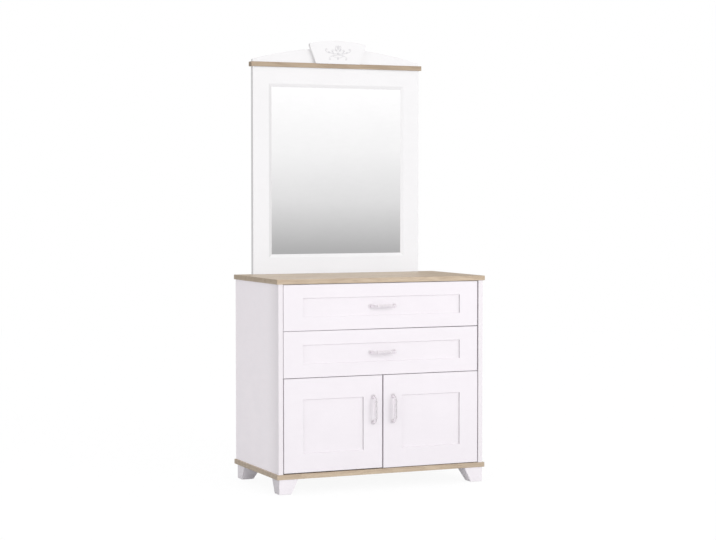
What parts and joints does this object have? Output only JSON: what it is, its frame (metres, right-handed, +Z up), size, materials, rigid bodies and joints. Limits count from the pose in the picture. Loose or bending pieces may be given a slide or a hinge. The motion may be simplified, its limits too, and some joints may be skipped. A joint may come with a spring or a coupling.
{
  "type": "dresser with mirror",
  "caption": "Dresser with drawers above double doors, tapered feet, oak-look top and base, and a standing framed mirror with an arched crown.",
  "frame": {"origin": "on the floor, under the middle of the whole object's box (handles and rear brackets included)", "axes": "+Z up, +Y to the back of the dresser, +X to the right as seen from the front"},
  "size_m": [0.85, 0.496, 1.7025],
  "materials": {
    "white_board": "satin white lacquered and foiled board",
    "oak_board": "pale oak grain laminate, matt",
    "drawer_board": "plain white melamine board",
    "hardboard": "thin hardboard, white on its inner face",
    "beech": "plain beech",
    "mirror_glass": "silvered flat glass",
    "handle_metal": "satin silver with darker recesses",
    "steel": "bright zinc-plated steel",
    "cast_metal": "bare cast zinc",
    "plastic": "moulded white plastic",
    "ornament_relief": "thin pale grey relief"
  },
  "bodies": {
    "carcass": {"adjustable_shelf": "white_board", "back_left_foot": "white_board", "back_panel": "hardboard", "back_rail": "white_board", "back_right_foot": "white_board", "base_board": "oak_board", "bracket_screws": "steel", "cam_bolts": "steel", "cam_locks": "cast_metal", "carcass_dowels": "beech", "cornice": "oak_board", "crown_dowels": "beech", "crown_ornament": "ornament_relief", "divider_board": "white_board", "door_stop": "white_board", "drawer_guides": "plastic", "foot_glides": "plastic", "foot_screws": "steel", "front_left_foot": "white_board", "front_right_foot": "white_board", "glazing_beads": "beech", "guide_screws": "steel", "hinge_arms": "steel", "hinge_plate_screws": "steel", "keystone": "white_board", "left_side_panel": "white_board", "mirror_backing": "hardboard", "mirror_brackets": "steel", "mirror_glass": "mirror_glass", "mirror_panel": "white_board", "pediment": "white_board", "right_side_panel": "white_board", "shelf_pins": "steel", "worktop": "oak_board"},
    "upper_drawer": {"upper_drawer_front": "white_board", "upper_drawer_left_side": "drawer_board", "upper_drawer_right_side": "drawer_board", "upper_drawer_back": "drawer_board", "upper_drawer_bottom": "hardboard", "upper_drawer_handle": "handle_metal", "upper_drawer_handle_screws": "steel"},
    "lower_drawer": {"lower_drawer_front": "white_board", "lower_drawer_left_side": "drawer_board", "lower_drawer_right_side": "drawer_board", "lower_drawer_back": "drawer_board", "lower_drawer_bottom": "hardboard", "lower_drawer_handle": "handle_metal", "lower_drawer_handle_screws": "steel"},
    "left_door": {"left_door_front": "white_board", "left_hinge_cups": "steel", "left_hinge_pins": "steel", "left_door_handle": "handle_metal", "left_door_handle_screws": "steel"},
    "right_door": {"right_door_front": "white_board", "right_hinge_cups": "steel", "right_hinge_pins": "steel", "right_door_handle": "handle_metal", "right_door_handle_screws": "steel"}
  },
  "joints": [
    {"name": "upper_drawer_slide", "type": "slide", "parent": "carcass", "child": "upper_drawer", "axis": [0, -1, 0], "range_m": [0, 0.29]},
    {"name": "lower_drawer_slide", "type": "slide", "parent": "carcass", "child": "lower_drawer", "axis": [0, -1, 0], "range_m": [0, 0.29]},
    {"name": "left_door_hinge", "type": "hinge", "parent": "carcass", "child": "left_door", "pos_m": [-0.384, -0.206, 0.2515], "axis": [0, 0, -1], "range_deg": [0, 95]},
    {"name": "right_door_hinge", "type": "hinge", "parent": "carcass", "child": "right_door", "pos_m": [0.384, -0.206, 0.2515], "axis": [0, 0, 1], "range_deg": [0, 95]}
  ]
}
